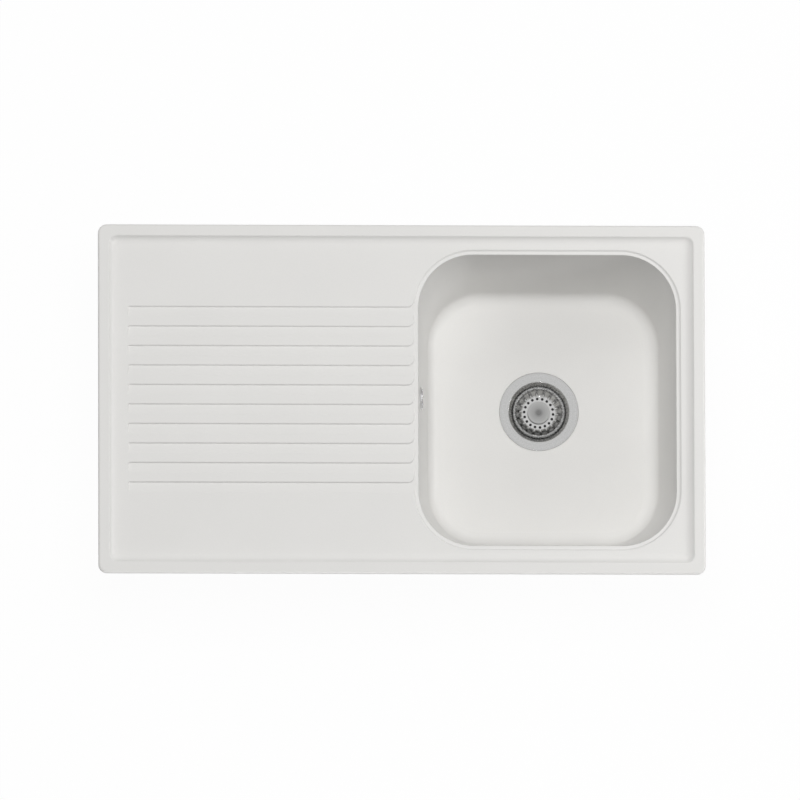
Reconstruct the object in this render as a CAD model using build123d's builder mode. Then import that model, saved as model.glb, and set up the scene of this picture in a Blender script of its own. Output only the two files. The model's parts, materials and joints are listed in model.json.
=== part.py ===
"""Inset kitchen sink with a drainboard, one bowl, a basket strainer waste and an overflow.

Millimetres. The origin is the centre of the rim's underside, which is the worktop's top.
+X runs towards the bowl, +Y to the back edge, +Z up.
"""

from build123d import *
from math import atan2, cos, degrees, radians, sin, tan
import os

os.makedirs("parts", exist_ok=True)

# ---------------------------------------------------------------- driving dimensions
# Rim and deck of the moulded shell
sink_length = 860.0
sink_width = 500.0
outer_corner_radius = 12.5
rim_height = 9.0
rim_width = 16.0
rim_edge_round = 3.0
rim_inner_round = 2.0
recess_depth = 6.5
recess_corner_radius = 11.5
recess_cove_radius = 13.0
deck_wall = 9.0

# Underside: the seat on the worktop, the collar that drops into the cut-out, the seal's channel
seat_width = 17.0
collar_depth = 20.0
collar_wall = 8.0
collar_corner_radius = 17.0
seal_inset = 8.0
seal_width = 6.0
seal_depth = 1.5

# Bowl: its margins to the recess, and how far each side leans in from the ledge to the floor
bowl_end_margin = 24.5
bowl_side_margin = 25.0
bowl_length = 366.0
bowl_corner_radius = 79.0
bowl_depth = 190.0
end_lean_run = 20.0
side_lean_run = 29.5
floor_round = 22.0
bowl_wall = 9.0
ledge_width = 6.8
ledge_wall_angle = 45.0

# Drainboard grooves
groove_count = 10
groove_pitch = 28.0
groove_width = 15.5
groove_depth = 2.0
groove_back_run = 3.0
groove_margin = 26.0
groove_end_radius = 3.0
land_corner_radius = 8.0
groove_wall_angle = 35.0
ledge_fall = 0.2

# Basket strainer waste: pressed steel cup
drain_offset_x = -5.1
drain_offset_y = 13.6
flange_radius = 55.5
flange_proud = 0.4
flange_clearance = 1.0
cup_sheet = 1.2
cup_clearance = 0.8
cup_mouth_radius = 43.5
cup_mouth_bevel = 1.2
cup_shoulder_radius = 37.0
cup_shoulder_depth = 6.0
cup_wall_radius = 33.5
stopper_seat_depth = 19.0
throat_radius = 27.0
cup_depth = 30.0
waste_port_count = 6
waste_port_radius = 6.0
waste_port_circle = 17.5
upper_seal_thickness = 1.2
lower_seal_thickness = 3.0
seal_ring_width = 5.0

# Lift-out basket
lift_clearance = 0.3
basket_side_clearance = 1.5
basket_sheet = 0.8
basket_rim_height = 2.6
basket_rim_width = 2.0
basket_rim_bevel = 0.6
basket_floor_depth = 12.0
basket_floor_radius = 25.5
basket_floor_bevel = 3.0
basket_hole_radius = 1.65
basket_hole_circle = 20.6
basket_hole_count = 18
knob_radius = 15.8
knob_thickness = 2.2
knob_edge_bevel = 0.6
knob_top_depth = 7.2
knob_neck_radius = 6.0
knob_dimple_radius = 3.5
knob_dimple_depth = 0.8
stem_radius = 2.5
stem_cover = 1.0
stopper_lip_thickness = 2.4
stopper_hub_radius = 9.0
stopper_overlap = 3.0
stem_nut_radius = 5.0
stem_nut_thickness = 2.5

# Plastic waste body with a side inlet and a threaded tail
waste_flange_radius = 54.0
waste_flange_thickness = 4.0
waste_wall = 3.0
waste_body_radius = 46.0
waste_body_depth = 36.0
waste_cone_height = 11.0
tail_radius = 23.9
tail_length = 27.0
tail_wall = 3.4
spider_rib_count = 3
spider_rib_width = 3.0
spider_height = 12.0
waste_boss_radius = 7.5
waste_screw_radius = 3.0
waste_screw_head_radius = 7.0
waste_screw_head_height = 3.5
waste_screw_head_bevel = 1.6
waste_insert_radius = 4.0
inlet_drop = 20.0
inlet_reach = 70.0

# Overflow
overflow_drop = 57.0
overflow_offset_y = 10.0
overflow_hole_radius = 12.5
rosette_radius = 16.3
rosette_height = 2.4
rosette_edge_bevel = 0.9
rosette_rim_width = 2.6
rosette_plate = 1.2
rosette_neck_clearance = 0.3
rosette_neck_length = 5.0
rosette_neck_wall = 1.0
rosette_slot_count = 8
rosette_slot_length = 4.6
rosette_slot_width = 1.8
rosette_slot_circle = 8.2
overflow_seal_thickness = 2.5
overflow_seal_width = 5.0
elbow_flange_thickness = 3.0
elbow_radius = 17.5
elbow_depth = 28.0
elbow_wall = 2.5
elbow_boss_radius = 4.0
elbow_drop = 36.0
overflow_screw_radius = 2.0
overflow_screw_head_radius = 4.0
overflow_screw_head_height = 1.8
overflow_screw_head_bevel = 0.9
overflow_screw_length = 24.0

# Corrugated hose and its two unions
spigot_radius = 13.0
hose_bore_radius = 8.5
hose_cuff_radius = 10.0
hose_crest_radius = 12.5
hose_cuff_length = 25.0
hose_end_flange_radius = 12.6
hose_end_flange_thickness = 2.4
hose_rib_pitch = 9.0
hose_rib_rise = 1.8
hose_rib_top = 3.2
hose_bend_share = 0.45
union_seal_thickness = 2.0
union_nut_radius = 17.0
union_nut_sides = 8
union_nut_lip = 2.2
union_thread_length = 11.0
union_clearance = 0.15

# Fixing clips that swing under the worktop
clip_end_inset = 140.0
clip_boss_radius = 9.0
clip_boss_drop = 27.0
clip_insert_radius = 4.0
clip_insert_length = 14.0
clip_screw_radius = 2.5
clip_screw_clearance = 0.06
clip_screw_head_radius = 4.8
clip_screw_head_height = 3.4
clip_drop = 46.0
clip_sheet = 2.0
clip_hub_radius = 8.0
clip_reach = 34.0
clip_lip_height = 7.0
clip_notch_width = 4.0
clip_notch_depth = 3.0
clip_rest_gap = 0.1

# ---------------------------------------------------------------- derived places
deck_z = rim_height - recess_depth
deck_bottom_z = deck_z - deck_wall
ledge_depth = groove_depth + ledge_fall
ledge_z = deck_z - ledge_depth
floor_z = rim_height - bowl_depth
floor_bottom_z = floor_z - bowl_wall
recess_length = sink_length - 2 * rim_width
recess_width = sink_width - 2 * rim_width
pan_length = sink_length - 2 * seat_width
pan_width = sink_width - 2 * seat_width
bowl_width = recess_width - 2 * bowl_side_margin
bowl_centre_x = recess_length / 2 - bowl_end_margin - bowl_length / 2
drain_centre = (bowl_centre_x + drain_offset_x, drain_offset_y)
drain_hole_radius = cup_mouth_radius + cup_sheet + cup_clearance
flange_z = floor_z + flange_proud
bowl_left_x = bowl_centre_x - bowl_length / 2
ledge_left_x = bowl_left_x - ledge_width


# ---------------------------------------------------------------- moulded shell
# The recess is the whole area inside the rim. Its side is part of a cove that runs into the deck,
# so the tool is wider than the recess by what the cove still leans out at the rim's top.
cove_run = (recess_cove_radius**2 - (recess_cove_radius - recess_depth) ** 2) ** 0.5
cove_overrun = recess_cove_radius - cove_run
with BuildPart() as recess_tool:
    with BuildSketch(Plane.XY.offset(deck_z)):
        RectangleRounded(
            recess_length + 2 * cove_overrun,
            recess_width + 2 * cove_overrun,
            recess_corner_radius + cove_overrun,
        )
    extrude(amount=2 * recess_cove_radius)
    fillet(recess_tool.faces().sort_by(Axis.Z)[0].edges(), recess_cove_radius)


def bowl_solid(bottom, grow, edge_round):
    """A box whose sides lean in evenly from the ledge down: the bowl's inside, or its outside."""
    height = ledge_z - bottom
    share = height / (ledge_z - floor_z)
    length = bowl_length + 2 * grow
    width = bowl_width + 2 * grow
    end_run = end_lean_run * share
    side_run = side_lean_run * share
    middle = Plane(
        origin=(bowl_centre_x, 0, ledge_z - height / 2), x_dir=(1, 0, 0), z_dir=(0, 1, 0)
    )
    with BuildPart(middle) as made:
        Wedge(length, height, width, end_run, side_run, length - end_run, width - side_run)
        level_edges = made.edges().filter_by(Plane.XY)
        fillet(made.edges() - level_edges, bowl_corner_radius + grow)
        fillet(made.faces().sort_by(Axis.Z)[0].edges(), edge_round)
    return made.part


# One groove: seen from above it is square-ended on the left and flares round the land's corner
# where it runs out into the bowl's ledge. Across, it drops at its back edge and rises in one
# long cove to its front edge, so water runs along the back of each groove.
groove_left_x = -recess_length / 2 + groove_margin
groove_rise_run = groove_width - groove_back_run
groove_rise_radius = (groove_rise_run**2 + groove_depth**2) / (2 * groove_depth)
groove_over = land_corner_radius + groove_end_radius


def groove_cutter(centre_y):
    back_y = centre_y + groove_width / 2
    front_y = centre_y - groove_width / 2
    low_y = back_y - groove_back_run
    with BuildPart() as cutter:
        with BuildSketch(Plane.XY.offset(deck_z)):
            with BuildLine():
                Polyline(
                    (ledge_left_x, back_y + land_corner_radius),
                    (ledge_left_x + ledge_width / 2, back_y + land_corner_radius),
                    (ledge_left_x + ledge_width / 2, front_y),
                    (groove_left_x, front_y),
                    (groove_left_x, back_y - groove_end_radius),
                )
                RadiusArc(
                    (groove_left_x, back_y - groove_end_radius),
                    (groove_left_x + groove_end_radius, back_y),
                    groove_end_radius,
                )
                Line(
                    (groove_left_x + groove_end_radius, back_y),
                    (ledge_left_x - land_corner_radius, back_y),
                )
                RadiusArc(
                    (ledge_left_x - land_corner_radius, back_y),
                    (ledge_left_x, back_y + land_corner_radius),
                    -land_corner_radius,
                )
            make_face()
        extrude(amount=-groove_depth, taper=groove_wall_angle)
        with BuildSketch(Plane.YZ.offset(groove_left_x - groove_over)):
            with BuildLine():
                Polyline(
                    (low_y, deck_z - groove_depth),
                    (back_y + groove_over, deck_z - groove_depth),
                    (back_y + groove_over, deck_z),
                    (front_y, deck_z),
                )
                RadiusArc(
                    (front_y, deck_z), (low_y, deck_z - groove_depth), -groove_rise_radius
                )
            make_face()
        extrude(amount=ledge_left_x - groove_left_x + 2 * groove_over, mode=Mode.INTERSECT)
    return cutter.part


# Overflow plane: on the bowl's left wall, its normal pointing into the bowl
wall_lean = atan2(end_lean_run, ledge_z - floor_z)
overflow_z = rim_height - overflow_drop
overflow_x = bowl_left_x + (ledge_z - overflow_z) * tan(wall_lean)
overflow_plane = Plane(
    origin=(overflow_x, overflow_offset_y, overflow_z),
    x_dir=(0, 1, 0),
    z_dir=(cos(wall_lean), 0, sin(wall_lean)),
)
overflow_wall = bowl_wall * cos(wall_lean)
overflow_axis = Axis(overflow_plane.origin, overflow_plane.z_dir)

# Clip pivots: three along each long side and one at each end, as (x, y, angle of the parked arm)
clip_x = sink_length / 2 - clip_end_inset
pivot_x = pan_length / 2 - clip_boss_radius
pivot_y = pan_width / 2 - clip_boss_radius
clip_places = [
    (-clip_x, pivot_y, 0),
    (0, pivot_y, 0),
    (clip_x, pivot_y, 180),
    (pivot_x, 0, 90),
    (clip_x, -pivot_y, 180),
    (0, -pivot_y, 0),
    (-clip_x, -pivot_y, 0),
    (-pivot_x, 0, 90),
]
clip_points = [(x, y) for x, y, angle in clip_places]


def seal_outline():
    """The foam strip from above: a band that follows the rim's outer edge."""
    for line, mode in ((-seal_width / 2, Mode.ADD), (seal_width / 2, Mode.SUBTRACT)):
        inset = seal_inset + line
        RectangleRounded(
            sink_length - 2 * inset, sink_width - 2 * inset, outer_corner_radius - inset, mode=mode
        )


with BuildPart() as sink_body:
    with BuildSketch(Plane.XY):
        RectangleRounded(sink_length, sink_width, outer_corner_radius)
    extrude(amount=rim_height)
    fillet(sink_body.faces().sort_by(Axis.Z)[-1].edges(), rim_edge_round)
    with BuildSketch(Plane.XY):
        RectangleRounded(pan_length, pan_width, collar_corner_radius)
    extrude(amount=deck_bottom_z)
    with BuildSketch(Plane.XY.offset(deck_bottom_z)):
        RectangleRounded(pan_length, pan_width, collar_corner_radius)
        RectangleRounded(
            pan_length - 2 * collar_wall,
            pan_width - 2 * collar_wall,
            collar_corner_radius - collar_wall,
            mode=Mode.SUBTRACT,
        )
    extrude(amount=-(collar_depth + deck_bottom_z))
    with BuildSketch(Plane.XY.offset(deck_bottom_z)):
        with Locations(*clip_points):
            Circle(clip_boss_radius)
    extrude(amount=-(clip_boss_drop + deck_bottom_z))
    add(bowl_solid(floor_bottom_z, bowl_wall, floor_round + bowl_wall))
    add(recess_tool.part, mode=Mode.SUBTRACT)
    rim_top = sink_body.faces().filter_by(Plane.XY).sort_by(Axis.Z)[-1]
    fillet(rim_top.inner_wires()[0].edges(), rim_inner_round)
    with BuildSketch(Plane.XY.offset(deck_z)):
        with Locations((bowl_centre_x, 0)):
            RectangleRounded(
                bowl_length + 2 * ledge_width,
                bowl_width + 2 * ledge_width,
                bowl_corner_radius + ledge_width,
            )
    extrude(amount=-ledge_depth, taper=ledge_wall_angle, mode=Mode.SUBTRACT)
    for row in range(groove_count):
        add(groove_cutter((row - (groove_count - 1) / 2) * groove_pitch), mode=Mode.SUBTRACT)
    add(bowl_solid(floor_z, 0, floor_round), mode=Mode.SUBTRACT)
    with BuildSketch(Plane.XY.offset(floor_z)):
        with Locations(drain_centre):
            Circle(flange_radius + flange_clearance)
    extrude(amount=-(cup_sheet + upper_seal_thickness - flange_proud), mode=Mode.SUBTRACT)
    with BuildSketch(Plane.XY.offset(floor_z)):
        with Locations(drain_centre):
            Circle(drain_hole_radius)
    extrude(amount=-2 * bowl_wall, mode=Mode.SUBTRACT)
    with BuildSketch(overflow_plane):
        Circle(overflow_hole_radius)
    extrude(amount=-2 * bowl_wall, mode=Mode.SUBTRACT)
    with BuildSketch(Plane.XY):
        seal_outline()
    extrude(amount=seal_depth, mode=Mode.SUBTRACT)
    with BuildSketch(Plane.XY.offset(-clip_boss_drop)):
        with Locations(*clip_points):
            Circle(clip_insert_radius)
    extrude(amount=clip_insert_length, mode=Mode.SUBTRACT)


def finish(builder, name):
    """Label a finished piece and write it to its own file."""
    builder.part.label = name
    export_step(builder.part, f"parts/{name}.step")


finish(sink_body, "sink_body")

# Foam strip, pressed flush into its channel under the rim
with BuildPart() as rim_seal:
    with BuildSketch(Plane.XY):
        seal_outline()
    extrude(amount=seal_depth)
finish(rim_seal, "rim_seal")

# ---------------------------------------------------------------- basket strainer waste
drain_plane = Plane(origin=(*drain_centre, flange_z), x_dir=(1, 0, 0), z_dir=(0, -1, 0))
drain_axis = Axis((*drain_centre, 0), (0, 0, 1))


def at_depth(depth):
    """A level plane on the drain's axis, this far under the flange's top."""
    return Plane(origin=(*drain_centre, flange_z - depth), z_dir=(0, 0, 1))


# Pressed cup: flange, sloping mouth, shoulder for the basket, seat for the stopper, throat
cup_face = [
    (flange_radius, 0),
    (cup_mouth_radius, 0),
    (cup_shoulder_radius, -cup_shoulder_depth),
    (cup_wall_radius, -cup_shoulder_depth),
    (cup_wall_radius, -stopper_seat_depth),
    (throat_radius, -stopper_seat_depth),
    (throat_radius, -cup_depth),
    (0, -cup_depth),
]
cup_back = [(r + cup_sheet, z - cup_sheet) for r, z in cup_face]
cup_back[0] = (flange_radius, -cup_sheet)
cup_back[-1] = (0, -cup_depth - cup_sheet)
with BuildPart() as drain_cup:
    with BuildSketch(drain_plane):
        with BuildLine():
            Polyline(*cup_face)
            Polyline(*cup_back)
            Line(cup_face[0], cup_back[0])
            Line(cup_face[-1], cup_back[-1])
        make_face()
    revolve(axis=drain_axis)
    top_edges = drain_cup.edges().filter_by(GeomType.CIRCLE).group_by(Axis.Z)[-1]
    chamfer(top_edges.sort_by(SortBy.RADIUS)[0], cup_mouth_bevel)
    with BuildSketch(at_depth(cup_depth + cup_sheet)):
        Circle(waste_screw_radius)
        with PolarLocations(waste_port_circle, waste_port_count):
            Circle(waste_port_radius)
    extrude(amount=2 * cup_sheet, mode=Mode.SUBTRACT)
finish(drain_cup, "drain_cup")


def ring(plane, outer, inner, height):
    """A flat ring standing on a plane."""
    with BuildPart() as made:
        with BuildSketch(plane):
            Circle(outer)
            Circle(inner, mode=Mode.SUBTRACT)
        extrude(amount=height)
    return made


sink_underside_depth = flange_z - floor_bottom_z
drain_seal_upper = ring(
    at_depth(cup_sheet + upper_seal_thickness),
    flange_radius,
    flange_radius - seal_ring_width,
    upper_seal_thickness,
)
finish(drain_seal_upper, "drain_seal_upper")
drain_seal_lower = ring(
    at_depth(sink_underside_depth + lower_seal_thickness),
    waste_flange_radius,
    waste_flange_radius - seal_ring_width,
    lower_seal_thickness,
)
finish(drain_seal_lower, "drain_seal_lower")

# Lift-out basket: turned-down rim, sloping wall, perforated floor
rim_top_depth = cup_shoulder_depth - lift_clearance - basket_rim_height
basket_rim_radius = cup_shoulder_radius - basket_side_clearance
basket_wall_top_radius = basket_rim_radius - basket_rim_width
basket_face = [
    (basket_rim_radius, -rim_top_depth - basket_rim_height),
    (basket_rim_radius, -rim_top_depth),
    (basket_wall_top_radius, -rim_top_depth),
    (basket_floor_radius, -basket_floor_depth),
    (0, -basket_floor_depth),
]
basket_back = [
    (basket_rim_radius - basket_sheet, -rim_top_depth - basket_rim_height),
    (basket_rim_radius - basket_sheet, -rim_top_depth - basket_sheet),
    (basket_wall_top_radius + basket_sheet / 2, -rim_top_depth - basket_sheet),
    (basket_floor_radius + basket_sheet / 2, -basket_floor_depth - basket_sheet),
    (0, -basket_floor_depth - basket_sheet),
]
with BuildPart() as basket:
    with BuildSketch(drain_plane):
        with BuildLine():
            Polyline(*basket_face)
            Polyline(*basket_back)
            Line(basket_face[0], basket_back[0])
            Line(basket_face[-1], basket_back[-1])
        make_face()
    revolve(axis=drain_axis)
    circles = basket.edges().filter_by(GeomType.CIRCLE).group_by(Axis.Z)
    chamfer(circles[0] + circles[1], basket_floor_bevel)
    chamfer(circles[-1].sort_by(SortBy.RADIUS)[-1], basket_rim_bevel)
    with BuildSketch(at_depth(basket_floor_depth + basket_sheet)):
        Circle(stem_radius)
        with PolarLocations(basket_hole_circle, basket_hole_count):
            Circle(basket_hole_radius)
    extrude(amount=2 * basket_sheet, mode=Mode.SUBTRACT)
finish(basket, "basket")

# Knob: a dished button on a neck that stands on the basket's floor
knob_under_depth = knob_top_depth + knob_thickness
stem_top_depth = knob_top_depth + knob_dimple_depth + stem_cover
knob_face = [
    (0, -knob_top_depth - knob_dimple_depth),
    (knob_dimple_radius - knob_dimple_depth, -knob_top_depth - knob_dimple_depth),
    (knob_dimple_radius, -knob_top_depth),
    (knob_radius, -knob_top_depth),
    (knob_radius, -knob_under_depth),
    (knob_neck_radius, -knob_under_depth),
    (knob_neck_radius, -basket_floor_depth),
    (0, -basket_floor_depth),
]
with BuildPart() as basket_knob:
    with BuildSketch(drain_plane):
        with BuildLine():
            Polyline(*knob_face, close=True)
        make_face()
    revolve(axis=drain_axis)
    circles = basket_knob.edges().filter_by(GeomType.CIRCLE).sort_by(SortBy.RADIUS)
    chamfer(circles[-2:], knob_edge_bevel)
    with BuildSketch(at_depth(basket_floor_depth)):
        Circle(stem_radius)
    extrude(amount=basket_floor_depth - stem_top_depth, mode=Mode.SUBTRACT)
finish(basket_knob, "basket_knob")

# Rubber stopper under the basket: a hub and a lip that closes the throat
stopper_top_depth = basket_floor_depth + basket_sheet
lip_bottom_depth = stopper_seat_depth - lift_clearance
stopper_radius = throat_radius + stopper_overlap
with BuildPart() as basket_stopper:
    with BuildSketch(at_depth(lip_bottom_depth)):
        Circle(stopper_radius)
        Circle(stem_radius, mode=Mode.SUBTRACT)
    extrude(amount=stopper_lip_thickness)
    with BuildSketch(at_depth(lip_bottom_depth)):
        Circle(stopper_hub_radius)
        Circle(stem_radius, mode=Mode.SUBTRACT)
    extrude(amount=lip_bottom_depth - stopper_top_depth)
finish(basket_stopper, "basket_stopper")

# Stem through knob, basket and stopper, with the nut that holds them together
stem_nut_depth = lip_bottom_depth + stem_nut_thickness
with BuildPart() as basket_stem:
    with BuildSketch(at_depth(stem_nut_depth)):
        Circle(stem_radius)
    extrude(amount=stem_nut_depth - stem_top_depth)
finish(basket_stem, "basket_stem")
with BuildPart() as stem_nut:
    with BuildSketch(at_depth(stem_nut_depth)):
        RegularPolygon(stem_nut_radius, 6)
        Circle(stem_radius, mode=Mode.SUBTRACT)
    extrude(amount=stem_nut_thickness)
finish(stem_nut, "stem_nut")

# Hose plane: upright, through the drain's axis and the overflow's spigot
overflow_back = overflow_wall + overflow_seal_thickness
elbow_mid = overflow_back + elbow_depth / 2
elbow_axis_point = overflow_plane.from_local_coords(Vector(0, 0, -elbow_mid))
hose_x = elbow_axis_point.X
spigot_end_z = overflow_z - elbow_drop
inlet_direction = Vector(
    hose_x - drain_centre[0], overflow_offset_y - drain_centre[1], 0
).normalized()
hose_side = Vector(0, 0, 1).cross(inlet_direction)
waste_top_depth = sink_underside_depth + lower_seal_thickness
inlet_z = flange_z - waste_top_depth - inlet_drop
inlet_mouth = Vector(*drain_centre, inlet_z) + inlet_direction * inlet_reach
inlet_plane = Plane(origin=inlet_mouth, x_dir=hose_side, z_dir=inlet_direction)
spigot_plane = Plane(
    origin=(hose_x, overflow_offset_y, spigot_end_z), x_dir=hose_side, z_dir=(0, 0, -1)
)

# Waste body: flanged bowl, cone, threaded tail, side inlet, and a boss carried by three ribs
body_bottom_depth = waste_top_depth + waste_body_depth
cone_bottom_depth = body_bottom_depth + waste_cone_height
tail_bottom_depth = cone_bottom_depth + tail_length
tail_bore_radius = tail_radius - tail_wall
body_outside = [
    (waste_flange_radius, -waste_top_depth),
    (waste_flange_radius, -waste_top_depth - waste_flange_thickness),
    (waste_body_radius, -waste_top_depth - waste_flange_thickness),
    (waste_body_radius, -body_bottom_depth),
    (tail_radius, -cone_bottom_depth),
    (tail_radius, -tail_bottom_depth),
]
body_inside = [
    (tail_bore_radius, -tail_bottom_depth),
    (tail_bore_radius, -cone_bottom_depth + waste_wall),
    (waste_body_radius - waste_wall, -body_bottom_depth + waste_wall),
    (waste_body_radius - waste_wall, -waste_top_depth),
]
boss_top_depth = cup_depth + cup_sheet
with BuildPart() as waste_body:
    with BuildSketch(drain_plane):
        with BuildLine():
            Polyline(*body_outside, *body_inside, close=True)
        make_face()
    revolve(axis=drain_axis)
    with BuildSketch(inlet_plane):
        Circle(spigot_radius)
    extrude(amount=-(inlet_reach - waste_body_radius + waste_wall))
    with BuildSketch(inlet_plane):
        Circle(hose_bore_radius)
    extrude(amount=-(inlet_reach - waste_body_radius + 2 * waste_wall), mode=Mode.SUBTRACT)
    with BuildSketch(at_depth(boss_top_depth + spider_height)):
        Circle(waste_boss_radius)
    extrude(amount=spider_height)
    with BuildSketch(at_depth(boss_top_depth + spider_height)):
        with PolarLocations(0, spider_rib_count):
            Rectangle(
                waste_body_radius - waste_wall / 2,
                spider_rib_width,
                align=(Align.MIN, Align.CENTER),
            )
    extrude(amount=spider_height - cup_sheet)
    with BuildSketch(at_depth(boss_top_depth + spider_height)):
        Circle(waste_insert_radius)
    extrude(amount=spider_height, mode=Mode.SUBTRACT)
finish(waste_body, "waste_body")

waste_insert = ring(
    at_depth(boss_top_depth + spider_height),
    waste_insert_radius,
    waste_screw_radius,
    spider_height,
)
finish(waste_insert, "waste_insert")

# Central screw that clamps cup and waste body round the bowl's floor
with BuildPart() as waste_screw:
    with BuildSketch(at_depth(boss_top_depth + spider_height)):
        Circle(waste_screw_radius)
    extrude(amount=spider_height + cup_sheet)
    with BuildSketch(at_depth(cup_depth)):
        Circle(waste_screw_head_radius)
    extrude(amount=waste_screw_head_height)
    chamfer(waste_screw.faces().sort_by(Axis.Z)[-1].edges(), waste_screw_head_bevel)
finish(waste_screw, "waste_screw")

# ---------------------------------------------------------------- overflow
rosette_neck_radius = overflow_hole_radius - rosette_neck_clearance
rosette_plate_radius = rosette_radius - rosette_rim_width
with BuildPart() as overflow_rosette:
    with BuildSketch(overflow_plane):
        Circle(rosette_radius)
    extrude(amount=rosette_height)
    chamfer(overflow_rosette.faces().sort_by(overflow_axis)[-1].edges(), rosette_edge_bevel)
    with BuildSketch(overflow_plane.offset(rosette_plate)):
        Circle(rosette_plate_radius)
    extrude(amount=rosette_height, mode=Mode.SUBTRACT)
    with BuildSketch(overflow_plane):
        Circle(rosette_neck_radius)
        Circle(rosette_neck_radius - rosette_neck_wall, mode=Mode.SUBTRACT)
    extrude(amount=-rosette_neck_length)
    with BuildSketch(overflow_plane):
        Circle(overflow_screw_radius)
        with PolarLocations(rosette_slot_circle, rosette_slot_count):
            SlotOverall(rosette_slot_length, rosette_slot_width)
    extrude(amount=rosette_height, mode=Mode.SUBTRACT)
finish(overflow_rosette, "overflow_rosette")

overflow_seal = ring(
    overflow_plane.offset(-overflow_back),
    elbow_radius + overflow_seal_width / 2,
    elbow_radius - overflow_seal_width / 2,
    overflow_seal_thickness,
)
finish(overflow_seal, "overflow_seal")

elbow_bottom = overflow_back + elbow_depth
with BuildPart() as overflow_elbow:
    with BuildSketch(overflow_plane.offset(-overflow_back)):
        Circle(elbow_radius + overflow_seal_width / 2)
    extrude(amount=-elbow_flange_thickness)
    with BuildSketch(overflow_plane.offset(-overflow_back)):
        Circle(elbow_radius)
    extrude(amount=-elbow_depth)
    with BuildSketch(spigot_plane):
        Circle(spigot_radius)
    extrude(amount=-elbow_drop)
    with BuildSketch(overflow_plane.offset(-overflow_back)):
        Circle(elbow_radius - elbow_wall)
    extrude(amount=-(elbow_depth - elbow_wall), mode=Mode.SUBTRACT)
    with BuildSketch(spigot_plane):
        Circle(hose_bore_radius)
    extrude(amount=-elbow_drop, mode=Mode.SUBTRACT)
    with BuildSketch(overflow_plane.offset(-elbow_bottom)):
        Circle(elbow_boss_radius)
    extrude(amount=elbow_depth - elbow_wall)
    with BuildSketch(overflow_plane.offset(rosette_plate - overflow_screw_length)):
        Circle(overflow_screw_radius)
    extrude(amount=overflow_screw_length, mode=Mode.SUBTRACT)
finish(overflow_elbow, "overflow_elbow")

with BuildPart() as overflow_screw:
    with BuildSketch(overflow_plane.offset(rosette_plate - overflow_screw_length)):
        Circle(overflow_screw_radius)
    extrude(amount=overflow_screw_length)
    with BuildSketch(overflow_plane.offset(rosette_plate)):
        Circle(overflow_screw_head_radius)
    extrude(amount=overflow_screw_head_height)
    chamfer(overflow_screw.faces().sort_by(overflow_axis)[-1].edges(), overflow_screw_head_bevel)
finish(overflow_screw, "overflow_screw")

# ---------------------------------------------------------------- corrugated hose
hose_start = spigot_plane.origin + spigot_plane.z_dir * union_seal_thickness
hose_end = inlet_plane.origin + inlet_plane.z_dir * union_seal_thickness
hose_corner = Vector(hose_start.X, hose_start.Y, hose_end.Z)
upright_run = (hose_corner - hose_start).length
level_run = (hose_end - hose_corner).length
hose_bend_radius = hose_bend_share * min(upright_run, level_run)
with BuildLine() as hose_route:
    FilletPolyline(hose_start, hose_corner, hose_end, radius=hose_bend_radius)
hose_path = hose_route.wire()
hose_length = hose_path.length
ribbed_length = hose_length - 2 * hose_cuff_length
rib_count = int(ribbed_length // hose_rib_pitch)
rib_step = ribbed_length / rib_count


def hose_plane(distance):
    """The plane square to the hose at this distance along it, its x always to the same side."""
    return Plane(
        origin=hose_path.position_at(distance / hose_length),
        x_dir=hose_side,
        z_dir=hose_path.tangent_at(distance / hose_length),
    )


rib_circles = []
for rib in range(rib_count):
    rib_start = hose_cuff_length + rib * rib_step
    root_run = (rib_step - hose_rib_top - 2 * hose_rib_rise) / 2
    rib_circles += [
        (rib_start + root_run / 2, hose_cuff_radius),
        (rib_start + root_run / 2 + hose_rib_rise, hose_crest_radius),
        (rib_start + root_run / 2 + hose_rib_rise + hose_rib_top, hose_crest_radius),
        (rib_start + root_run / 2 + 2 * hose_rib_rise + hose_rib_top, hose_cuff_radius),
    ]
rib_circles = [(hose_cuff_length, hose_cuff_radius)] + rib_circles
rib_circles += [(hose_length - hose_cuff_length, hose_cuff_radius)]
with BuildPart() as overflow_hose:
    for distance, radius in rib_circles:
        with BuildSketch(hose_plane(distance)):
            Circle(radius)
    loft(ruled=True)
    for start, run in ((0, hose_cuff_length), (hose_length, -hose_cuff_length)):
        with BuildSketch(hose_plane(start)):
            Circle(hose_cuff_radius)
        extrude(amount=run)
    for start, run in ((0, hose_end_flange_thickness), (hose_length, -hose_end_flange_thickness)):
        with BuildSketch(hose_plane(start)):
            Circle(hose_end_flange_radius)
        extrude(amount=run)
    with BuildSketch(hose_plane(0)):
        Circle(hose_bore_radius)
    sweep(path=hose_path, mode=Mode.SUBTRACT)
finish(overflow_hose, "overflow_hose")
print("hose bend radius", round(hose_bend_radius, 1), "length", round(hose_length, 1))


# The two unions: at each end a washer, and an eight-sided nut over the spigot's thread that
# holds the hose's flange against it
union_planes = (spigot_plane, inlet_plane)
union_seat = union_seal_thickness + hose_end_flange_thickness + union_clearance
with BuildPart() as hose_seals:
    for plane in union_planes:
        with BuildSketch(plane):
            Circle(hose_end_flange_radius)
            Circle(hose_bore_radius, mode=Mode.SUBTRACT)
        extrude(amount=union_seal_thickness)
finish(hose_seals, "hose_seals")

with BuildPart() as hose_nuts:
    for plane in union_planes:
        with BuildSketch(plane.offset(-union_thread_length)):
            RegularPolygon(union_nut_radius, union_nut_sides)
            Circle(spigot_radius, mode=Mode.SUBTRACT)
        extrude(amount=union_thread_length + union_seat)
        with BuildSketch(plane.offset(union_seat)):
            RegularPolygon(union_nut_radius, union_nut_sides)
            Circle(hose_cuff_radius + union_clearance, mode=Mode.SUBTRACT)
        extrude(amount=union_nut_lip)
finish(hose_nuts, "hose_nuts")

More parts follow.
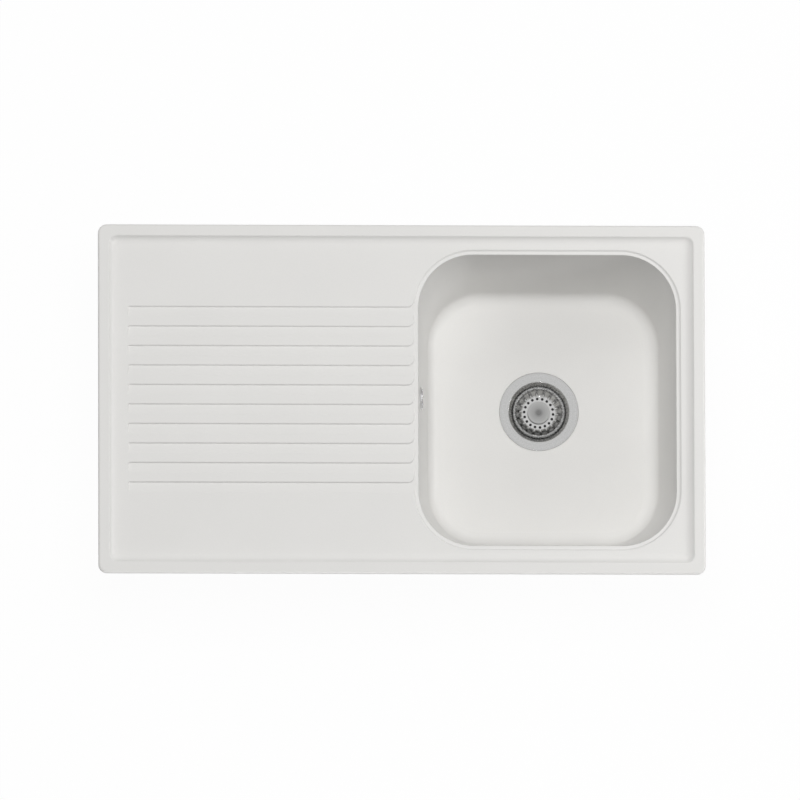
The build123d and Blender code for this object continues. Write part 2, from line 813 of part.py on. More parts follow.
# ---------------------------------------------------------------- fixing clips
clip_top_z = clip_sheet - clip_drop
with BuildPart() as clip_inserts:
    with BuildSketch(Plane.XY.offset(-clip_boss_drop)):
        with Locations(*clip_points):
            Circle(clip_insert_radius)
            Circle(clip_screw_radius, mode=Mode.SUBTRACT)
    extrude(amount=clip_insert_length)
finish(clip_inserts, "clip_inserts")

with BuildPart() as clip_screws:
    with BuildSketch(Plane.XY.offset(-clip_drop - clip_rest_gap)):
        with Locations(*clip_points):
            Circle(clip_screw_radius)
    extrude(amount=clip_drop + clip_rest_gap - clip_boss_drop + clip_insert_length)
    with BuildSketch(Plane.XY.offset(-clip_drop - clip_rest_gap)):
        with Locations(*clip_points):
            Circle(clip_screw_head_radius)
    extrude(amount=-clip_screw_head_height)
finish(clip_screws, "clip_screws")

for number, (x, y, angle) in enumerate(clip_places, start=1):
    arm_way = (cos(radians(angle)), sin(radians(angle)), 0)
    clip_plane = Plane(origin=(x, y, -clip_drop), x_dir=arm_way, z_dir=(0, 0, 1))
    with BuildPart() as clip:
        with BuildSketch(clip_plane):
            Circle(clip_hub_radius)
            Rectangle(clip_reach, 2 * clip_hub_radius, align=(Align.MIN, Align.CENTER))
            Circle(clip_screw_radius + clip_screw_clearance, mode=Mode.SUBTRACT)
        extrude(amount=clip_sheet)
        with BuildSketch(clip_plane.offset(clip_sheet)):
            with Locations((clip_reach, 0)):
                Rectangle(clip_sheet, 2 * clip_hub_radius, align=(Align.MAX, Align.CENTER))
        extrude(amount=clip_lip_height)
        with BuildSketch(clip_plane.offset(clip_sheet + clip_lip_height)):
            with Locations((clip_reach, 0)):
                Rectangle(2 * clip_sheet, clip_notch_width)
        extrude(amount=-clip_notch_depth, mode=Mode.SUBTRACT)
    finish(clip, f"clip_{number}")
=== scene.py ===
"""Looks of the inset kitchen sink with a drainboard. Metres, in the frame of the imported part.

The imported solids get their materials. Four pieces get a finer skin in their solid's place: the
pressed cup, the lift-out basket, its knob and the corrugated hose.
"""

import json
from math import cos, pi, radians, sin, tan

import bmesh
import bpy
from mathutils import Matrix, Vector


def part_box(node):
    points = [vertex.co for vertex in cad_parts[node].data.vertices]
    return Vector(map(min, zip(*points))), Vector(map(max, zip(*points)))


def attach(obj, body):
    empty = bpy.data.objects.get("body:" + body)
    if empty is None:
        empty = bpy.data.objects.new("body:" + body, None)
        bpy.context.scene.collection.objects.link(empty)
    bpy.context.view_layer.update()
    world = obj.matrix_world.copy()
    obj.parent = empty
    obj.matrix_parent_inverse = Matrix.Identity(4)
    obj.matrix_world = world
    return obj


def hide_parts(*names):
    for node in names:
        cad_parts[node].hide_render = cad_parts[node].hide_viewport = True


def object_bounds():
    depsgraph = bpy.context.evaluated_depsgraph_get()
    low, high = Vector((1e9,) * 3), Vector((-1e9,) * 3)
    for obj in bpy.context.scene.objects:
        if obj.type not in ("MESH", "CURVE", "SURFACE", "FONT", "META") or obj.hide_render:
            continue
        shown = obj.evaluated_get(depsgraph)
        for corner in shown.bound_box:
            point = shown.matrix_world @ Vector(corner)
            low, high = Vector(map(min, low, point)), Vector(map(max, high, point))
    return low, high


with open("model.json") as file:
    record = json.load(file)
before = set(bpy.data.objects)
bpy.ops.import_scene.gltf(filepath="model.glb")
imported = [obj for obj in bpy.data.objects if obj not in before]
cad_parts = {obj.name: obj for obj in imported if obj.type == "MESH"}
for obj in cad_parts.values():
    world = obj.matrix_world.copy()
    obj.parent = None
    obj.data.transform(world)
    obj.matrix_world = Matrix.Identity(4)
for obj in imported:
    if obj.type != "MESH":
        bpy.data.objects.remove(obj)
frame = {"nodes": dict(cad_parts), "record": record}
cad_low, cad_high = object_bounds()
nodes = frame["nodes"]
MM = 0.001


def show(made):
    """Puts an object into the scene."""
    bpy.context.scene.collection.objects.link(made)
    return made


# ---------------------------------------------------------------- camera
# It looks almost straight down from far off, a little from the sink's front and left. The picture
# spans VIEW_WIDTH at the rim's height, and the rim's middle lies right of its middle and above it.
CAMERA_DISTANCE = 50.0
CAMERA_NEAR = 1.0
CAMERA_ROLL = -0.0028
TO_CAMERA = Vector((-0.0335, -0.165, 0.9857)).normalized()
VIEW_WIDTH = 1.1328
SENSOR = 36.0
RIM_MIDDLE_RIGHT = 2.6 * MM
RIM_MIDDLE_UP = 1.6 * MM

up = (Vector((0, 1, 0)) - TO_CAMERA * TO_CAMERA.y).normalized()
right = up.cross(TO_CAMERA)
image_right = right * cos(CAMERA_ROLL) + up * sin(CAMERA_ROLL)
image_up = up * cos(CAMERA_ROLL) - right * sin(CAMERA_ROLL)
rim_middle = Vector((0, 0, cad_high.z))
aim = rim_middle - image_right * RIM_MIDDLE_RIGHT - image_up * RIM_MIDDLE_UP
camera_data = bpy.data.cameras.new("camera")
camera_data.sensor_width = SENSOR
camera_data.lens = SENSOR * CAMERA_DISTANCE / VIEW_WIDTH
camera_data.clip_start = CAMERA_NEAR
camera_data.clip_end = 2 * CAMERA_DISTANCE
camera = show(bpy.data.objects.new("camera", camera_data))
camera.matrix_world = Matrix.Translation(aim + TO_CAMERA * CAMERA_DISTANCE) @ Matrix(
    (image_right, image_up, TO_CAMERA)
).transposed().to_4x4()
bpy.context.scene.camera = camera
bpy.context.scene.view_settings.view_transform = "Standard"


# ---------------------------------------------------------------- lamps
def over(tilt_back, tilt_right, distance):
    """A place this far over the sink, tilted from the vertical towards its back and its right."""
    way = Vector((tan(radians(tilt_right)), tan(radians(tilt_back)), 1))
    return way.normalized() * distance


# Name, place, size in metres, power in watts, and whether metal mirrors the lamp: the two wide
# ones would turn the flat steel white. The last one lights the rim's front edge from below it.
LAMPS = (
    ("overhead", over(3, 0, 6.0), 2.0, 243.0, False),
    ("back_left", over(35, -35, 6.0), 2.0, 50.0, False),
    ("right", over(0, 65, 2.4), 0.8, 17.5, True),
    ("front", over(-44, 0, 6.0), 0.3, 7.0, True),
    ("front_low", Vector((0.0, -2.5, -0.12)), 0.2, 18.0, True),
)
for name, place, size, power, mirrored in LAMPS:
    lamp_data = bpy.data.lights.new(name, "AREA")
    lamp_data.shape = "SQUARE"
    lamp_data.size = size
    lamp_data.energy = power
    lamp = show(bpy.data.objects.new(name, lamp_data))
    lamp.location = place
    lamp.rotation_euler = (-place).to_track_quat("-Z", "Y").to_euler()
    lamp.visible_glossy = mirrored


# ---------------------------------------------------------------- world
def seen_directly(tree):
    """1 for a camera, mirror or transmission ray, so that glass and metal show the background."""
    path = tree.nodes.new("ShaderNodeLightPath")
    total = path.outputs["Is Camera Ray"]
    for name in ("Is Glossy Ray", "Is Transmission Ray"):
        larger = tree.nodes.new("ShaderNodeMath")
        larger.operation = "MAXIMUM"
        tree.links.new(total, larger.inputs[0])
        tree.links.new(path.outputs[name], larger.inputs[1])
        total = larger.outputs[0]
    return total


def mixed(tree, share, first, second):
    """The shader between two others, by a share from 0 to 1."""
    mix = tree.nodes.new("ShaderNodeMixShader")
    tree.links.new(share, mix.inputs[0])
    tree.links.new(first.outputs[0], mix.inputs[1])
    tree.links.new(second.outputs[0], mix.inputs[2])
    return mix


AMBIENT = 0.09
WHITE = 1.0
world = bpy.data.worlds.new("world")
bpy.context.scene.world = world
world.use_nodes = True
tree = world.node_tree
tree.nodes.clear()
backgrounds = []
for strength in (AMBIENT, WHITE):
    background = tree.nodes.new("ShaderNodeBackground")
    background.inputs["Color"].default_value = (1, 1, 1, 1)
    background.inputs["Strength"].default_value = strength
    backgrounds.append(background)
sky = mixed(tree, seen_directly(tree), *backgrounds)
output = tree.nodes.new("ShaderNodeOutputWorld")
tree.links.new(sky.outputs[0], output.inputs["Surface"])


# ---------------------------------------------------------------- materials
# A noise is (scale, detail, roughness). A tone is (grain, share of the colour) stops.
COMPOSITE_GRAIN = (1400.0, 3.0, 0.7)
COMPOSITE_CLOUD = (9.0, 3.0, 0.5)
CLOUD_SHARE = 0.25
COMPOSITE_TONE = ((0.25, 0.95), (0.75, 1.04))
COMPOSITE_BUMP = 0.04 * MM
COMPOSITE_BUMP_STRENGTH = 0.35
COMPOSITE_EDGE_ROUND = 1.2 * MM
EDGE_SAMPLES = 6
RING_GRAIN = (2600.0, 3.0, 0.65)
EVEN_GRAIN = (900.0, 3.0, 0.6)
SPECKLE_GRAIN = (520.0, 1.0, 0.5)
STEEL_TONE = ((0.2, 0.86), (0.8, 1.08))
STEEL_BUMP = 0.02 * MM
# Painted shade and highlight on turned steel: its radius stops are spread over this span, in
# millimetres.
SHADING_SPAN = 60.0
PLAIN_DETAIL = 3.0
PLAIN_ROUGHNESS = 0.6
PLAIN_TONE = ((0.3, 0.93), (0.7, 1.05))
BUMP_STRENGTH = 0.5


class Material:
    """A node-based material: its Principled shader, and short calls for the nodes that feed it."""

    def __init__(self, name, colour, roughness, metallic=0.0):
        self.data = bpy.data.materials.new(name)
        self.data.use_nodes = True
        self.tree = self.data.node_tree
        self.shader = self.tree.nodes["Principled BSDF"]
        self.shader.inputs["Base Color"].default_value = (*colour, 1)
        self.shader.inputs["Roughness"].default_value = roughness
        self.shader.inputs["Metallic"].default_value = metallic

    def node(self, kind, **inputs):
        made = self.tree.nodes.new("ShaderNode" + kind)
        for key, value in inputs.items():
            made.inputs[key.replace("_", " ")].default_value = value
        return made

    def link(self, source, target):
        self.tree.links.new(source, target)

    def place(self):
        """The point's place in the object's own frame."""
        return self.node("TexCoord").outputs["Object"]

    def noise(self, vector, scale, detail, roughness):
        made = self.node("TexNoise", Scale=scale, Detail=detail, Roughness=roughness)
        self.link(vector, made.inputs["Vector"])
        return made.outputs["Fac"]

    def math(self, operation, *values):
        """One step of arithmetic on numbers and sockets."""
        made = self.node("Math")
        made.operation = operation
        for socket, value in zip(made.inputs, values):
            if isinstance(value, (int, float)):
                socket.default_value = value
            else:
                self.link(value, socket)
        return made.outputs[0]

    def ramp(self, factor, *stops):
        """A colour ramp through (position, colour) stops."""
        made = self.node("ValToRGB")
        elements = made.color_ramp.elements
        for position, colour in stops[1:-1]:
            elements.new(position)
        for element, (position, colour) in zip(elements, stops):
            element.position = position
            element.color = (*colour, 1)
        self.link(factor, made.inputs["Fac"])
        return made.outputs["Color"]

    def tone(self, factor, colour, stops):
        """The colour, darker and lighter through (position, share of the colour) stops."""
        shades = [(at, tuple(channel * share for channel in colour)) for at, share in stops]
        return self.ramp(factor, *shades)

    def between(self, factor, low, high):
        """A factor from 0 to 1 spread from low to high."""
        made = self.node("MapRange", From_Min=0.0, From_Max=1.0, To_Min=low, To_Max=high)
        self.link(factor, made.inputs["Value"])
        return made.outputs["Result"]

    def complete(self, colour, roughness, grain, height, strength=BUMP_STRENGTH, edge_round=0.0):
        """Feeds the shader, with the grain as its bump, and gives back the finished material.
        Edges catch the light as if they were rounded by edge_round."""
        self.link(colour, self.shader.inputs["Base Color"])
        self.link(roughness, self.shader.inputs["Roughness"])
        bump = self.node("Bump", Strength=strength, Distance=height)
        self.link(grain, bump.inputs["Height"])
        if edge_round:
            bevel = self.node("Bevel", Radius=edge_round)
            bevel.samples = EDGE_SAMPLES
            self.link(bevel.outputs["Normal"], bump.inputs["Normal"])
        self.link(bump.outputs["Normal"], self.shader.inputs["Normal"])
        return self.data


def composite(colour, low, high):
    """Moulded quartz and resin: off-white, silk-matt, with a very fine grain."""
    made = Material("composite", colour, (low + high) / 2)
    place = made.place()
    grain = made.noise(place, *COMPOSITE_GRAIN)
    cloud = made.noise(place, *COMPOSITE_CLOUD)
    fine = made.math("MULTIPLY", grain, 1 - CLOUD_SHARE)
    broad = made.math("MULTIPLY", cloud, CLOUD_SHARE)
    return made.complete(
        made.tone(made.math("ADD", fine, broad), colour, COMPOSITE_TONE),
        made.between(grain, low, high),
        grain,
        COMPOSITE_BUMP,
        COMPOSITE_BUMP_STRENGTH,
        COMPOSITE_EDGE_ROUND,
    )


def reach_and_height(made, place, axis):
    """How far a point is from an upright axis, and its height."""
    shift = made.node("VectorMath")
    shift.operation = "SUBTRACT"
    shift.inputs[1].default_value = (*axis, 0)
    made.link(place, shift.inputs[0])
    parts = made.node("SeparateXYZ")
    made.link(shift.outputs[0], parts.inputs[0])
    x_squared = made.math("MULTIPLY", parts.outputs["X"], parts.outputs["X"])
    y_squared = made.math("MULTIPLY", parts.outputs["Y"], parts.outputs["Y"])
    reach = made.math("SQRT", made.math("ADD", x_squared, y_squared))
    return reach, parts.outputs["Z"]


def painted_shading_at(made, place, reach, shading, speckle):
    """Painted shade and highlight by (radius in mm, brightness) stops, speckled where darker."""
    stops = [(radius / SHADING_SPAN, (brightness, brightness, brightness)) for radius, brightness in shading]
    even = made.ramp(made.math("DIVIDE", reach, SHADING_SPAN * MM), *stops)
    if not speckle:
        return even
    # Random speckle, stronger where the painted shade is deeper.
    spots = made.noise(place, *SPECKLE_GRAIN)
    spread = made.between(spots, 1 - speckle, 1 + speckle)
    shade_depth = made.math("SUBTRACT", 1.0, even)
    lift = made.math("MULTIPLY", shade_depth, made.math("SUBTRACT", spread, 1.0))
    return made.math("ADD", even, lift)


def steel(name, colour, low, high, axis=None, shading=(), speckle=0.0):
    """Metal brushed in rings round an upright axis, or evenly grained where there is none.
    Its colour is scaled by radius with the shading stops: painted shade and highlight."""
    made = Material(name, colour, low, 1.0)
    place = made.place()
    if axis:
        reach, height = reach_and_height(made, place, axis)
        rings = made.node("CombineXYZ")
        made.link(reach, rings.inputs["X"])
        made.link(height, rings.inputs["Z"])
        grain = made.noise(rings.outputs[0], *RING_GRAIN)
    else:
        grain = made.noise(place, *EVEN_GRAIN)
    tone = made.tone(grain, colour, STEEL_TONE)
    if axis:
        # Painted light and shade: the colour is scaled by radius from the axis.
        shaded = made.node("VectorMath")
        shaded.operation = "SCALE"
        made.link(tone, shaded.inputs[0])
        made.link(painted_shading_at(made, place, reach, shading, speckle), shaded.inputs["Scale"])
        tone = shaded.outputs[0]
    return made.complete(tone, made.between(grain, low, high), grain, STEEL_BUMP)


def plain(name, colour, low, high, scale, depth):
    """A moulded material: colour and roughness vary a little over a fine texture."""
    made = Material(name, colour, low)
    grain = made.noise(made.place(), scale, PLAIN_DETAIL, PLAIN_ROUGHNESS)
    tone = made.tone(grain, colour, PLAIN_TONE)
    return made.complete(tone, made.between(grain, low, high), grain, depth)


drain_low, drain_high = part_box("drain_cup")
drain_x = (drain_low.x + drain_high.x) / 2
drain_y = (drain_low.y + drain_high.y) / 2
flange_z = drain_high.z
drain_axis = (drain_x, drain_y)

# Painted light and shade, as (radius in millimetres, brightness) over the basket's floor, wall and
# rim, the cup's mouth and flange: painted shade in the gap outside the basket's rim and down the
# cup's mouth, and a painted highlight on the basket's lower wall.
CUP_PAINTED_SHADING = (
    (0, 1.0), (23.0, 1.0), (24.5, 0.85), (26.0, 0.95), (27.0, 1.05), (30.5, 1.05), (32.0, 0.55),
    (33.4, 0.5), (34.6, 0.6), (35.0, 0.9), (35.7, 0.9), (36.3, 0.32), (39.0, 0.55), (41.5, 0.6),
    (43.4, 0.85), (44.0, 0.95),
)
CUP_SPECKLE = 1.6
# The knob's painted shade and highlight: painted darker at its dimple, lighter out to its edge.
KNOB_PAINTED_SHADING = ((0, 0.5), (3.0, 0.54), (6.5, 0.8), (13.0, 1.0), (16.0, 1.15))
GREY_STEEL = (0.56, 0.56, 0.555)
DARK_STEEL = (0.42, 0.42, 0.415)
materials = {
    "composite": composite((0.738, 0.731, 0.714), 0.36, 0.48),
    "stainless": steel("stainless", GREY_STEEL, 0.12, 0.26, drain_axis, CUP_PAINTED_SHADING, CUP_SPECKLE),
    "satin_steel": steel("satin_steel", DARK_STEEL, 0.26, 0.40, drain_axis, KNOB_PAINTED_SHADING),
    "chrome": steel("chrome", (0.72, 0.72, 0.73), 0.06, 0.12),
    "black_rubber": plain("black_rubber", (0.03, 0.03, 0.03), 0.5, 0.7, 700.0, 0.05 * MM),
    "foam": plain("foam", (0.10, 0.10, 0.10), 0.8, 0.95, 900.0, 0.3 * MM),
    "white_plastic": plain("white_plastic", (0.74, 0.74, 0.73), 0.32, 0.42, 500.0, 0.03 * MM),
    "hose_plastic": plain("hose_plastic", (0.62, 0.62, 0.61), 0.35, 0.45, 500.0, 0.03 * MM),
    "brass": steel("brass", (0.72, 0.55, 0.28), 0.25, 0.38),
    "zinc_steel": steel("zinc_steel", (0.62, 0.64, 0.66), 0.30, 0.45),
}
slot_of = {}
for part in frame["record"]["subparts"]:
    slot_of[part["node"]] = part["material_slot"]
    mesh = nodes[part["node"]].data
    mesh.materials.clear()
    mesh.materials.append(materials[part["material_slot"]])

# ---------------------------------------------------------------- how skins are made
WELD = 0.001 * MM
SMOOTH_ANGLE = 0.7
body_of = {}
for body, members in frame["record"]["behaviour"]["bodies"].items():
    for member in members:
        body_of[member] = body


def ring_skin(name, profile, sides, place):
    """A closed skin: each (radius, along) of a closed profile becomes one ring of points."""
    vertices = []
    faces = []
    for radius, along in profile:
        vertices += [place(radius, along, 2 * pi * side / sides) for side in range(sides)]
    for row in range(len(profile)):
        low = row * sides
        high = (row + 1) % len(profile) * sides
        for side in range(sides):
            beside = (side + 1) % sides
            faces.append((low + side, low + beside, high + beside, high + side))
    mesh = bpy.data.meshes.new(name)
    mesh.from_pydata(vertices, [], faces)
    skin = bmesh.new()
    skin.from_mesh(mesh)
    bmesh.ops.remove_doubles(skin, verts=skin.verts, dist=WELD)
    bmesh.ops.dissolve_degenerate(skin, edges=skin.edges, dist=WELD)
    bmesh.ops.recalc_face_normals(skin, faces=skin.faces)
    skin.to_mesh(mesh)
    skin.free()
    return show(bpy.data.objects.new(name, mesh))


DRILL_REACH = 50 * MM


def bored(made, centres, radius, sides):
    """Cuts upright round holes through a turned piece."""
    vertices = []
    faces = []
    for x, y in centres:
        base = len(vertices)
        for z in (flange_z - DRILL_REACH, flange_z + DRILL_REACH):
            for side in range(sides):
                angle = 2 * pi * side / sides
                vertices.append((x + radius * cos(angle), y + radius * sin(angle), z))
        for side in range(sides):
            beside = (side + 1) % sides
            top = base + sides
            faces.append((base + side, base + beside, top + beside, top + side))
        faces.append(tuple(base + side for side in reversed(range(sides))))
        faces.append(tuple(base + sides + side for side in range(sides)))
    mesh = bpy.data.meshes.new("drill")
    mesh.from_pydata(vertices, [], faces)
    drill = show(bpy.data.objects.new("drill", mesh))
    cut = made.modifiers.new("holes", "BOOLEAN")
    cut.operation = "DIFFERENCE"
    cut.solver = "EXACT"
    cut.object = drill
    evaluated = made.evaluated_get(bpy.context.evaluated_depsgraph_get())
    result = bpy.data.meshes.new_from_object(evaluated)
    made.modifiers.clear()
    made.data = result
    bpy.data.objects.remove(drill)


def settle(made, node):
    """Gives a piece its node's finish and body, and hides the node's solid in its place."""
    made.data.materials.clear()
    made.data.materials.append(materials[slot_of[node]])
    made.data.shade_smooth()
    made.data.set_sharp_from_angle(angle=SMOOTH_ANGLE)
    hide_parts(node)
    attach(made, body_of[node])


def rounded(corners, steps=6):
    """A profile through (radius, height, round) corners in millimetres, its corners eased."""
    points = []
    for index, (radius, height, ease) in enumerate(corners):
        here = Vector((radius, height)) * MM
        if not ease:
            points.append(tuple(here))
            continue
        before = Vector(corners[index - 1][:2]) * MM - here
        after = Vector(corners[(index + 1) % len(corners)][:2]) * MM - here
        start = here + before.normalized() * ease * MM
        end = here + after.normalized() * ease * MM
        for step in range(steps + 1):
            share = step / steps
            first = start.lerp(here, share)
            points.append(tuple(first.lerp(here.lerp(end, share), share)))
    return points


# ---------------------------------------------------------------- turned pieces of the waste
# Radii from the drain's axis and heights over the flange's top, in bare millimetres where they are
# corners of a profile. The third number of a corner says how far it is eased.
TURNED_SIDES = 216


def turned(radius, height, angle):
    return (drain_x + radius * cos(angle), drain_y + radius * sin(angle), flange_z + height)


def on_circle(reach, count, start=0.0):
    angles = [start + 2 * pi * index / count for index in range(count)]
    return [(drain_x + reach * cos(angle), drain_y + reach * sin(angle)) for angle in angles]


# Pressed cup: flange with a rolled lip, sloping mouth, shoulder, stopper seat, ported floor
CUP_SHEET = 1.2
CUP_SCREW_HOLE = 3.0
CUP_FLOOR = -30.0
THROAT = 27.0
SEAT = 33.5
SEAT_HEIGHT = -19.0
SHOULDER = 37.0
SHOULDER_HEIGHT = -6.0
MOUTH = 43.5
MOUTH_BACK = 1.0
FLANGE = 56.2
FLANGE_EDGE = -0.1
PORTS = 6
PORT_REACH = 17.5 * MM
PORT_RADIUS = 6.0 * MM
PORT_SIDES = 32

cup_profile = rounded([
    (CUP_SCREW_HOLE, CUP_FLOOR, 0),
    (THROAT, CUP_FLOOR, 3.0),
    (THROAT, SEAT_HEIGHT, 1.5),
    (SEAT, SEAT_HEIGHT, 1.0),
    (SEAT, SHOULDER_HEIGHT, 1.2),
    (SHOULDER, SHOULDER_HEIGHT, 1.0),
    (MOUTH, 0.0, 1.5),
    (FLANGE, FLANGE_EDGE, 0.4),
    (FLANGE, -CUP_SHEET, 0.4),
    (MOUTH + MOUTH_BACK, -CUP_SHEET, 1.5),
    (SHOULDER + CUP_SHEET, SHOULDER_HEIGHT - CUP_SHEET, 1.2),
    (SEAT + CUP_SHEET, SHOULDER_HEIGHT - CUP_SHEET, 1.2),
    (SEAT + CUP_SHEET, SEAT_HEIGHT - CUP_SHEET, 1.2),
    (THROAT + CUP_SHEET, SEAT_HEIGHT - CUP_SHEET, 1.2),
    (THROAT + CUP_SHEET, CUP_FLOOR - CUP_SHEET, 3.2),
    (CUP_SCREW_HOLE, CUP_FLOOR - CUP_SHEET, 0),
])
cup = ring_skin("drain_cup_skin", cup_profile, TURNED_SIDES, turned)
bored(cup, on_circle(PORT_REACH, PORTS), PORT_RADIUS, PORT_SIDES)
settle(cup, "drain_cup")

# Lift-out basket: turned-down rim, wall with a pressed flute over each hole, perforated floor
BASKET_SHEET = 0.8
BASKET_WALL_BACK = 0.3
BASKET_FLOOR = -12.0
BASKET_FLOOR_RADIUS = 24.6
BASKET_FLOOR_ROUND = 3.6
BASKET_MOUTH = 33.5
BASKET_RIM = 35.5
BASKET_RIM_TOP = -3.1
BASKET_RIM_FOOT = -5.7
BASKET_STEPS = 8
STEM = 2.5
HOLES = 18
FIRST_HOLE = -0.08
HOLE_REACH = 20.6 * MM
HOLE_RADIUS = 1.9 * MM
HOLE_SIDES = 24
FLUTE_DEPTH = 1.3 * MM
FLUTE_FROM = 21.0 * MM
FLUTE_TO = 31.0 * MM


def fluted(radius, height, angle):
    """A point of the basket, pushed out and down where a flute crosses it."""
    share = (radius - FLUTE_FROM) / (FLUTE_TO - FLUTE_FROM)
    if 0 < share < 1:
        wave = max(0.0, cos(HOLES * (angle - FIRST_HOLE)))
        depth = FLUTE_DEPTH * sin(pi * share) * wave
        radius += depth
        height -= depth
    return turned(radius, height, angle)


basket_profile = rounded([
    (STEM, BASKET_FLOOR, 0),
    (BASKET_FLOOR_RADIUS, BASKET_FLOOR, BASKET_FLOOR_ROUND),
    (BASKET_MOUTH, BASKET_RIM_TOP, 1.0),
    (BASKET_RIM, BASKET_RIM_TOP, 0.9),
    (BASKET_RIM, BASKET_RIM_FOOT, 0.2),
    (BASKET_RIM - BASKET_SHEET, BASKET_RIM_FOOT, 0.2),
    (BASKET_RIM - BASKET_SHEET, BASKET_RIM_TOP - BASKET_SHEET, 0.4),
    (BASKET_MOUTH + BASKET_WALL_BACK, BASKET_RIM_TOP - BASKET_SHEET, 0.6),
    (BASKET_FLOOR_RADIUS + BASKET_WALL_BACK, BASKET_FLOOR - BASKET_SHEET, BASKET_FLOOR_ROUND),
    (STEM, BASKET_FLOOR - BASKET_SHEET, 0),
], BASKET_STEPS)
basket = ring_skin("basket_skin", basket_profile, TURNED_SIDES, fluted)
bored(basket, on_circle(HOLE_REACH, HOLES, FIRST_HOLE), HOLE_RADIUS, HOLE_SIDES)
settle(basket, "basket")

# Knob: a spun button, a little dished, with a soft dimple, on its neck
KNOB_RADIUS = 15.8
KNOB_CREST = 14.6
KNOB_CREST_HEIGHT = -7.2
KNOB_EDGE_TOP = -7.4
KNOB_EDGE_FOOT = -9.1
KNOB_UNDERSIDE = -9.4
KNOB_UNDERSIDE_RADIUS = 14.8
DISH_RADIUS = 9.0
DISH_HEIGHT = -7.5
DIMPLE_RADIUS = 3.6
DIMPLE_EDGE = -7.6
DIMPLE_FLOOR_RADIUS = 2.0
DIMPLE_FLOOR = -8.1
NECK = 6.0
STEM_TOP = -9.0

knob_profile = rounded([
    (0.0, DIMPLE_FLOOR, 0),
    (DIMPLE_FLOOR_RADIUS, DIMPLE_FLOOR, 1.0),
    (DIMPLE_RADIUS, DIMPLE_EDGE, 1.2),
    (DISH_RADIUS, DISH_HEIGHT, 3.0),
    (KNOB_CREST, KNOB_CREST_HEIGHT, 1.0),
    (KNOB_RADIUS, KNOB_EDGE_TOP, 0.5),
    (KNOB_RADIUS, KNOB_EDGE_FOOT, 0.5),
    (KNOB_UNDERSIDE_RADIUS, KNOB_UNDERSIDE, 0.5),
    (NECK, KNOB_UNDERSIDE, 0.8),
    (NECK, BASKET_FLOOR, 0),
    (STEM, BASKET_FLOOR, 0),
    (STEM, STEM_TOP, 0),
    (0.0, STEM_TOP, 0),
])
knob = ring_skin("basket_knob_skin", knob_profile, TURNED_SIDES, turned)
settle(knob, "basket_knob")

# ---------------------------------------------------------------- corrugated hose
# Its line drops from the overflow's elbow and turns level to the waste's inlet, HOSE_REACH from the
# drain's axis. The ribs lie between two plain cuffs, each with a flange at its end.
HOSE_FLANGE = 12.6 * MM
HOSE_FLANGE_RUN = 2.4 * MM
HOSE_CUFF = 10.0 * MM
HOSE_CUFF_RUN = 25.0 * MM
HOSE_CREST = 12.5 * MM
HOSE_BORE = 8.5 * MM
HOSE_REACH = 72.0 * MM
HOSE_RIBS = 38
RIB_STEPS = 8
RIB_FULLNESS = 0.7
BORE_STEPS = 40
HOSE_SIDES = 48
BEND_SHARE = 0.45
LINE_RESOLUTION = 32


def line_through(route):
    """The points of the smooth line that a route's corners draw."""
    curve = bpy.data.curves.new("hose_route", "CURVE")
    curve.dimensions = "3D"
    curve.resolution_u = LINE_RESOLUTION
    spline = curve.splines.new("NURBS")
    spline.points.add(len(route) - 1)
    for point, place in zip(spline.points, route):
        point.co = (*place, 1)
    spline.order_u = 3
    spline.use_endpoint_u = True
    drawn = bpy.data.objects.new("hose_route", curve)
    mesh = bpy.data.meshes.new_from_object(drawn)
    points = [vertex.co.copy() for vertex in mesh.vertices]
    bpy.data.objects.remove(drawn)
    bpy.data.meshes.remove(mesh)
    return points


hose_low, hose_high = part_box("overflow_hose")
rosette_low, rosette_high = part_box("overflow_rosette")
hose_x = hose_low.x + HOSE_FLANGE
hose_y = (rosette_low.y + rosette_high.y) / 2
inlet_way = Vector((hose_x - drain_x, hose_y - drain_y, 0)).normalized()
hose_side = Vector((0, 0, 1)).cross(inlet_way)
hose_start = Vector((hose_x, hose_y, hose_high.z))
hose_end = Vector((drain_x, drain_y, hose_low.z + HOSE_FLANGE)) + inlet_way * HOSE_REACH
hose_corner = Vector((hose_x, hose_y, hose_end.z))
upright = hose_start - hose_corner
level = hose_end - hose_corner
bend = BEND_SHARE * min(upright.length, level.length)
near = bend * (1 - tan(pi / 8))
far = bend * (1 + tan(pi / 8))
line = line_through([
    hose_start,
    hose_corner + upright.normalized() * far,
    hose_corner + upright.normalized() * near,
    hose_corner + level.normalized() * near,
    hose_corner + level.normalized() * far,
    hose_end,
])
reached = [0.0]
for before, after in zip(line, line[1:]):
    reached.append(reached[-1] + (after - before).length)
hose_length = reached[-1]


def along_hose(radius, distance, angle):
    """A point of the hose's skin, this far along its line."""
    index = 1
    while index < len(line) - 1 and reached[index] < distance:
        index += 1
    before, after = line[index - 1], line[index]
    share = (distance - reached[index - 1]) / (reached[index] - reached[index - 1])
    way = (after - before).normalized()
    if 0 < share < 1 and index < len(line) - 1:
        way = way.lerp((line[index + 1] - after).normalized(), share / 2).normalized()
    across = hose_side.cross(way)
    centre = before.lerp(after, share)
    return centre + hose_side * radius * cos(angle) + across * radius * sin(angle)


def rib_profile():
    """The ribs as (radius, along): full crests and narrow valleys, from cuff to cuff."""
    steps = HOSE_RIBS * RIB_STEPS
    ribbed = hose_length - 2 * HOSE_CUFF_RUN
    for step in range(steps + 1):
        swell = (1 - cos(2 * pi * step / RIB_STEPS)) / 2
        radius = HOSE_CUFF + (HOSE_CREST - HOSE_CUFF) * swell**RIB_FULLNESS
        yield radius, HOSE_CUFF_RUN + ribbed * step / steps


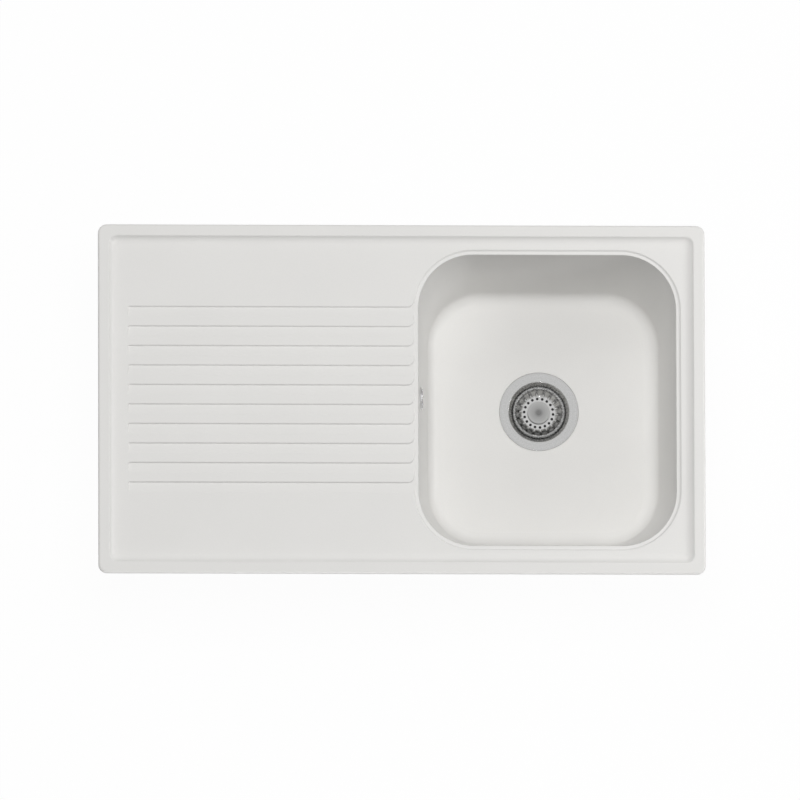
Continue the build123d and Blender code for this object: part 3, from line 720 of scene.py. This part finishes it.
hose_profile = [
    (HOSE_BORE, 0.0),
    (HOSE_FLANGE, 0.0),
    (HOSE_FLANGE, HOSE_FLANGE_RUN),
    (HOSE_CUFF, HOSE_FLANGE_RUN),
    *rib_profile(),
    (HOSE_CUFF, hose_length - HOSE_FLANGE_RUN),
    (HOSE_FLANGE, hose_length - HOSE_FLANGE_RUN),
    (HOSE_FLANGE, hose_length),
    (HOSE_BORE, hose_length),
]
for step in range(1, BORE_STEPS):
    hose_profile.append((HOSE_BORE, hose_length * (1 - step / BORE_STEPS)))
hose = ring_skin("overflow_hose_skin", hose_profile, HOSE_SIDES, along_hose)
settle(hose, "overflow_hose")

# ---------------------------------------------------------------- floor
# A pale floor just under the waste's tail. To the camera and to metal it is nearly all white glow,
# to other light it is plain grey, and from below it is clear, so that the underside shows.
FLOOR_DROP = 0.5 * MM
FLOOR_HALF = 40.0
FLOOR_GLOW = 0.97
FLOOR_GREY = 0.8
FLOOR_CORNERS = ((-1, -1), (1, -1), (1, 1), (-1, 1))

floor_z = cad_low.z - FLOOR_DROP
floor_mesh = bpy.data.meshes.new("floor")
floor_mesh.from_pydata(
    [(x * FLOOR_HALF, y * FLOOR_HALF, floor_z) for x, y in FLOOR_CORNERS], [], [(0, 1, 2, 3)]
)
floor = show(bpy.data.objects.new("floor", floor_mesh))
floor_material = bpy.data.materials.new("floor")
floor_material.use_nodes = True
tree = floor_material.node_tree
tree.nodes.clear()
grey = tree.nodes.new("ShaderNodeBsdfDiffuse")
grey.inputs["Color"].default_value = (FLOOR_GREY, FLOOR_GREY, FLOOR_GREY, 1)
glow = tree.nodes.new("ShaderNodeEmission")
glow.inputs["Strength"].default_value = WHITE
glow_share = tree.nodes.new("ShaderNodeMath")
glow_share.operation = "MULTIPLY"
glow_share.inputs[1].default_value = FLOOR_GLOW
tree.links.new(seen_directly(tree), glow_share.inputs[0])
side = tree.nodes.new("ShaderNodeNewGeometry")
clear = tree.nodes.new("ShaderNodeBsdfTransparent")
from_above = mixed(tree, glow_share.outputs[0], grey, glow)
one_sided = mixed(tree, side.outputs["Backfacing"], from_above, clear)
output = tree.nodes.new("ShaderNodeOutputMaterial")
tree.links.new(one_sided.outputs[0], output.inputs["Surface"])
floor_mesh.materials.append(floor_material)
